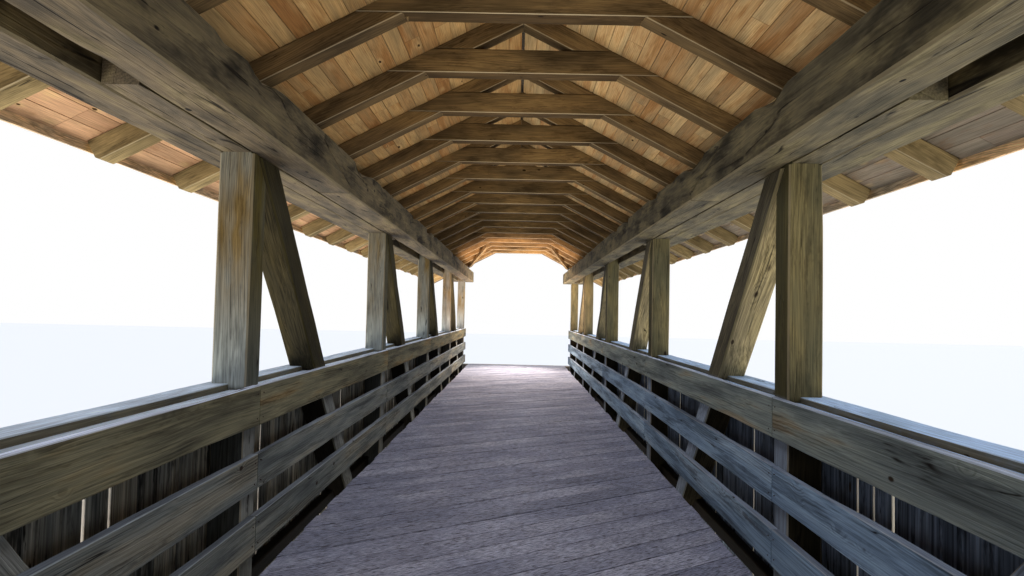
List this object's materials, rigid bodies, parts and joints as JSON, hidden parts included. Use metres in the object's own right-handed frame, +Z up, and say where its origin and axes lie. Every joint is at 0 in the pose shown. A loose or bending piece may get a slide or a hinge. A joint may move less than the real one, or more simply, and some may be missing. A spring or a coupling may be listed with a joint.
{
  "type": "covered timber footbridge",
  "caption": "Covered timber footbridge: two braced post trusses carry a plank walkway with rails and a collared rafter roof, on stone abutments.",
  "frame": {"origin": "on the ground, under the middle of the bridge's length and width", "axes": "+Y along the walkway, +X to the right across it when looking along +Y, +Z up"},
  "size_m": [5.07, 39.14, 6.6399],
  "materials": {
    "abutment_stone": "rough coursed stone",
    "sleeper_oak": "rough sawn, dark",
    "truss_timber": "weathered sawn spruce, matt",
    "chord_timber": "hewn and weathered spruce, matt",
    "floor_timber": "rough sawn, dark",
    "deck_planks": "worn grey larch planks",
    "rail_boards": "weathered grey-brown boards",
    "cap_board": "silver-grey weathered board",
    "cladding_boards": "dark weathered upright boards",
    "rafter_timber": "planed brown spruce, matt",
    "roof_boarding": "warm tan softwood boards",
    "roof_shingles": "weathered split shingles",
    "trim_boards": "weathered sawn boards"
  },
  "bodies": {
    "root": {"barge_boards": "trim_boards", "bearing_sleepers": "sleeper_oak", "bottom_chord_left": "floor_timber", "bottom_chord_right": "floor_timber", "braces_left": "truss_timber", "braces_right": "truss_timber", "chord_blocks_left": "chord_timber", "chord_blocks_right": "chord_timber", "cladding_left": "cladding_boards", "cladding_right": "cladding_boards", "collar_ties": "rafter_timber", "deck": "deck_planks", "eave_strip_left": "trim_boards", "eave_strip_right": "trim_boards", "far_abutment": "abutment_stone", "floor_beams": "floor_timber", "girts_left": "floor_timber", "girts_right": "floor_timber", "low_rail_left": "rail_boards", "low_rail_right": "rail_boards", "middle_rail_left": "rail_boards", "middle_rail_right": "rail_boards", "near_abutment": "abutment_stone", "parapet_cap_left": "cap_board", "parapet_cap_right": "cap_board", "posts_left": "truss_timber", "posts_right": "truss_timber", "rafters_left": "rafter_timber", "rafters_right": "rafter_timber", "ridge_boards": "trim_boards", "roof_boards_left": "roof_boarding", "roof_boards_right": "roof_boarding", "roof_shingles_left": "roof_shingles", "roof_shingles_right": "roof_shingles", "stringers": "floor_timber", "top_chord_inner_left": "chord_timber", "top_chord_inner_right": "chord_timber", "top_chord_outer_left": "chord_timber", "top_chord_outer_right": "chord_timber", "top_rail_left": "rail_boards", "top_rail_right": "rail_boards", "wind_braces": "rafter_timber"}
  },
  "joints": []
}
